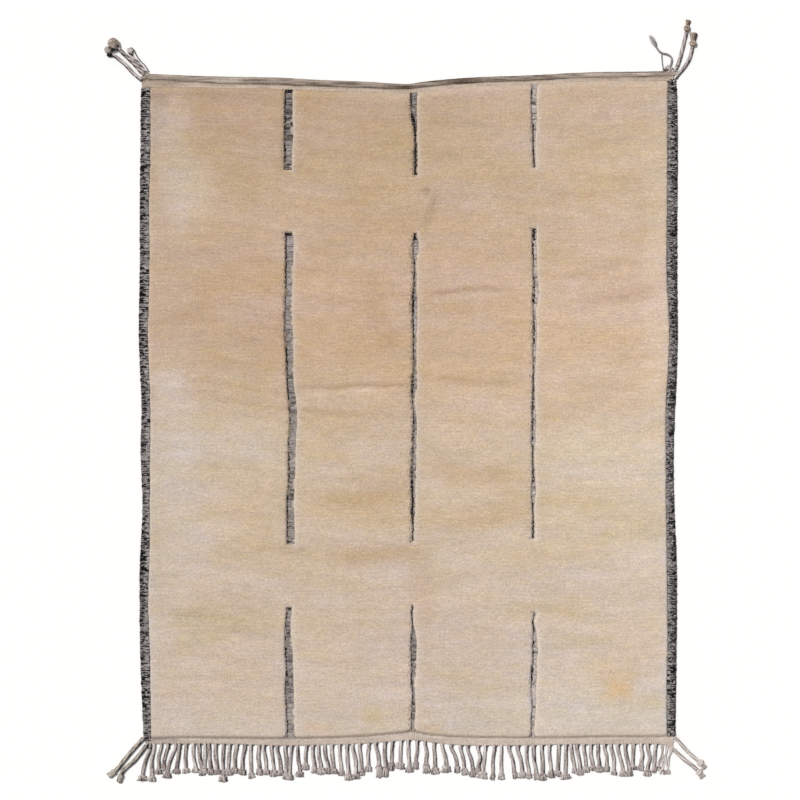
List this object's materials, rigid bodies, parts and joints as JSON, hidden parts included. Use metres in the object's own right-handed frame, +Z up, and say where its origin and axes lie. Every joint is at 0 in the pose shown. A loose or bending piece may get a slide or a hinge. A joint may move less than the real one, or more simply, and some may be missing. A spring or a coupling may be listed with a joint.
{
  "type": "mrirt rug",
  "caption": "Hand-knotted wool rug with thick cut pile, broken unpiled lines, wrapped side bindings, a knotted fringe along one end and loose knotted corner ties.",
  "frame": {"origin": "centre of the woven rug on its flat underside", "axes": "+Z up out of the pile, +Y along the rug away from the fringe, +X across it"},
  "size_m": [2.7396, 3.4797, 0.032],
  "materials": {
    "pile_wool": "undyed cream wool, cut pile",
    "grey_wool": "grey and black wool, wrapped",
    "beige_wool": "beige wool, flat-woven",
    "cord_wool": "plied beige wool with grey plies"
  },
  "bodies": {
    "root": {"binding_left": "grey_wool", "binding_right": "grey_wool", "fringe": "cord_wool", "heading_bottom": "beige_wool", "heading_top": "beige_wool", "pile_field": "pile_wool", "tie_bl_1": "cord_wool", "tie_bl_1_knot": "cord_wool", "tie_bl_2": "cord_wool", "tie_bl_2_knot": "cord_wool", "tie_br_1": "cord_wool", "tie_br_1_knot": "cord_wool", "tie_br_2": "cord_wool", "tie_br_2_knot": "cord_wool", "tie_tl_1": "cord_wool", "tie_tl_1_knot": "cord_wool", "tie_tl_2": "cord_wool", "tie_tl_2_knot": "cord_wool", "tie_tl_3": "cord_wool", "tie_tl_3_strand": "cord_wool", "tie_tr_1": "cord_wool", "tie_tr_1_knot": "cord_wool", "tie_tr_2": "cord_wool", "tie_tr_2_knot": "cord_wool", "tie_tr_3": "cord_wool", "tie_tr_3_knot": "cord_wool", "tie_tr_3_leg": "cord_wool"}
  },
  "joints": []
}
